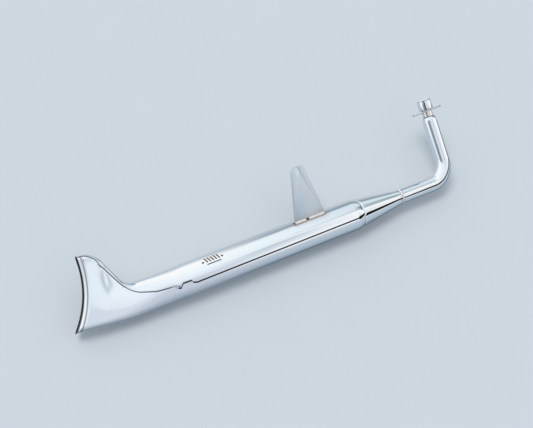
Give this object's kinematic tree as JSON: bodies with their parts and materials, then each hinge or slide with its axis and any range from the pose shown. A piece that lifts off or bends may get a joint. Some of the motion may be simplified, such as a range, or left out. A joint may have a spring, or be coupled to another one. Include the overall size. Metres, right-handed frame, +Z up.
{
  "type": "motorcycle exhaust muffler",
  "caption": "Slim fishtail muffler with a tapered front, bent double-wall header, slotted hanger bracket and loose two-stud port flange.",
  "frame": {"origin": "on the hanger bracket's inner flat face, on the middle line of its slot, 18 mm below the slot's centre", "axes": "+X forward along the muffler towards the header, +Y towards the motorcycle (right-hand exhaust), +Z up"},
  "size_m": [0.8221, 0.0612, 0.1922],
  "materials": {
    "tube_chrome": "polished chrome plate",
    "tail_chrome": "polished chrome plate over pressed steel",
    "sleeve_chrome": "polished chrome plate",
    "port_chrome": "chrome plate",
    "bracket_plating": "satin plated sheet",
    "heated_pipe": "steel with brown and pink heat tint",
    "weld": "plated weld bead with heat tint",
    "plain_steel": "uncoated pressed steel",
    "glass_wool": "compressed glass fibre"
  },
  "bodies": {
    "exhaust": {"body_tube": "tube_chrome", "front_cone": "tube_chrome", "header_weld": "weld", "header_sleeve": "sleeve_chrome", "header_pipe": "heated_pipe", "header_spacer_lower": "plain_steel", "header_spacer_upper": "plain_steel", "port_end_ring": "port_chrome", "fishtail_outer_half": "tail_chrome", "fishtail_inner_half": "tail_chrome", "tail_joint_sleeve": "plain_steel", "outlet_tube": "plain_steel", "rear_bulkhead": "plain_steel", "front_bulkhead": "plain_steel", "perforated_core": "plain_steel", "glass_wool_packing": "glass_wool", "mounting_bracket": "bracket_plating", "bracket_weld_rear": "weld", "bracket_weld_front": "weld", "bracket_weld_inboard": "weld"},
    "collar_front": {"collar_half_front": "port_chrome"},
    "collar_rear": {"collar_half_rear": "port_chrome"},
    "flange": {"port_flange": "port_chrome"}
  },
  "joints": [
    {"name": "collar_turn", "type": "hinge", "parent": "exhaust", "child": "collar_front", "pos_m": [0.30899, 0.0142, -0.05591], "axis": [0.0227, 0, 0.9997], "continuous": true},
    {"name": "collar_release", "type": "slide", "parent": "collar_front", "child": "collar_rear", "axis": [-0.8658, 0.5, 0.0196], "range_m": [0, 0.02]},
    {"name": "flange_slide", "type": "slide", "parent": "collar_front", "child": "flange", "axis": [0.0227, 0, 0.9997], "range_m": [-0.01, 0]}
  ]
}
